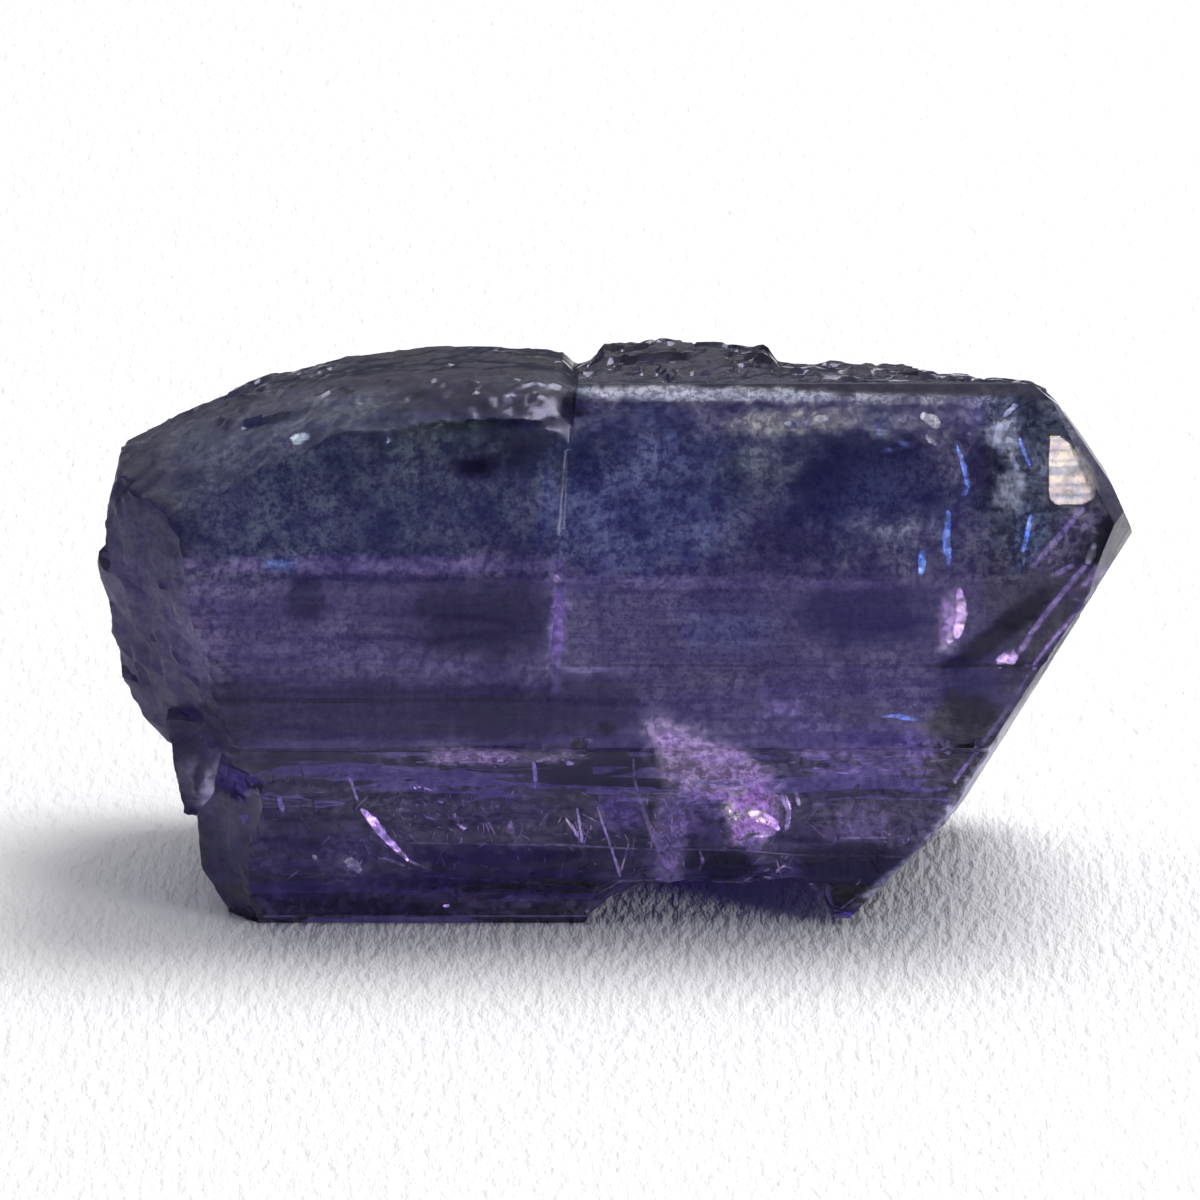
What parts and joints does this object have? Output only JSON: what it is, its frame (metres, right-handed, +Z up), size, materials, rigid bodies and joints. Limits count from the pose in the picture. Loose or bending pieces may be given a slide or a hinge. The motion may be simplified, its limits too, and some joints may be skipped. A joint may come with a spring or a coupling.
{
  "type": "rough tanzanite crystal",
  "caption": "Rough tanzanite: a flattened violet-blue prism with striated faces, a chisel tip, a broken top and a broken end.",
  "frame": {"origin": "middle of the outer box on the surface that the crystal rests on", "axes": "+X along the crystal to its chisel tip, +Y from the front faces to the back, +Z up"},
  "size_m": [0.0201, 0.0088, 0.0109],
  "materials": {
    "tanzanite": "clear trichroic crystal, steel blue above and violet below, with glossy striated faces and broken surfaces"
  },
  "bodies": {
    "root": {"tanzanite_crystal": "tanzanite"}
  },
  "joints": []
}
